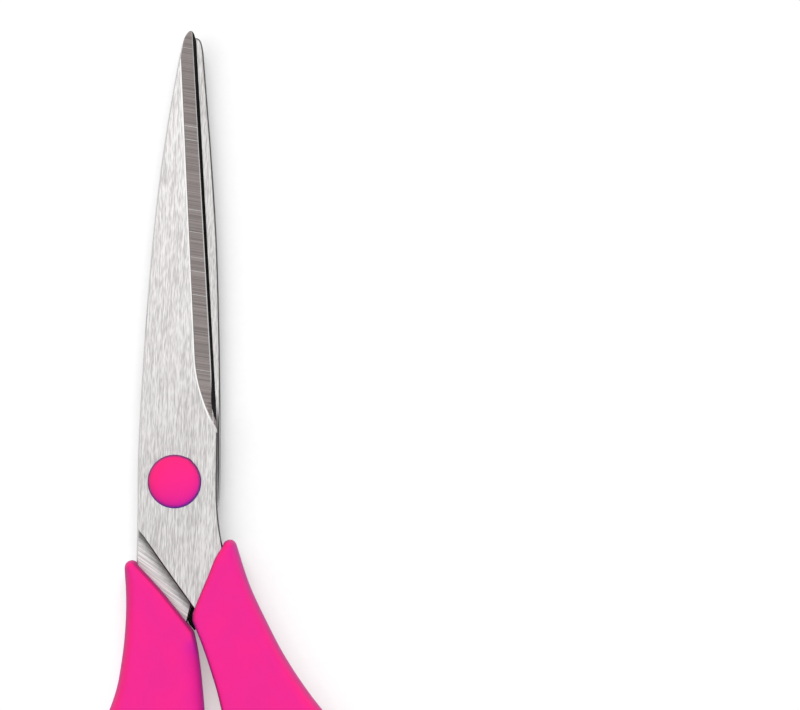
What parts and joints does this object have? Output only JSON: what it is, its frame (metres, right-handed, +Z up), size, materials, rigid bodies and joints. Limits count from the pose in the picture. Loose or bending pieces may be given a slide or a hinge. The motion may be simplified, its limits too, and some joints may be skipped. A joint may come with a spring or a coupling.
{
  "type": "floral snips",
  "caption": "Long-bladed floral scissors with a capped pivot and pink soft-grip handles: a round thumb loop and a long finger loop.",
  "frame": {"origin": "on the pivot's axis, in the plane of the rear pivot cap's flat face, which the snips rest on", "axes": "+Y from the pivot to the blade tips, +Z up out of the front blade's face, +X towards the finger loop"},
  "size_m": [0.0852, 0.2252, 0.01],
  "materials": {
    "blade_steel": "brushed along the flats, ground across the bevels",
    "pivot_steel": "plain machined",
    "soft_grip": "soft-touch, satin pink",
    "loop_liner": "soft, satin pink",
    "handle_core": "matte pink",
    "stop_rubber": "matte black",
    "nylon": "matte natural",
    "pivot_cap": "satin pink"
  },
  "bodies": {
    "thumb_half": {"rear_blade": "blade_steel", "left_handle_core": "handle_core", "left_handle_grip": "soft_grip", "left_loop_liner": "loop_liner", "pivot_screw": "pivot_steel", "head_washer": "nylon", "spring_washer": "pivot_steel", "pivot_nut": "pivot_steel", "front_cap": "pivot_cap", "rear_cap": "pivot_cap"},
    "finger_half": {"front_blade": "blade_steel", "right_handle_core": "handle_core", "right_handle_grip": "soft_grip", "right_loop_liner": "loop_liner", "stop_bumper": "stop_rubber"}
  },
  "joints": [
    {"name": "blade_hinge", "type": "hinge", "parent": "thumb_half", "child": "finger_half", "pos_m": [0, 0, 0], "axis": [0, 0, 1], "range_deg": [0, 90]}
  ]
}
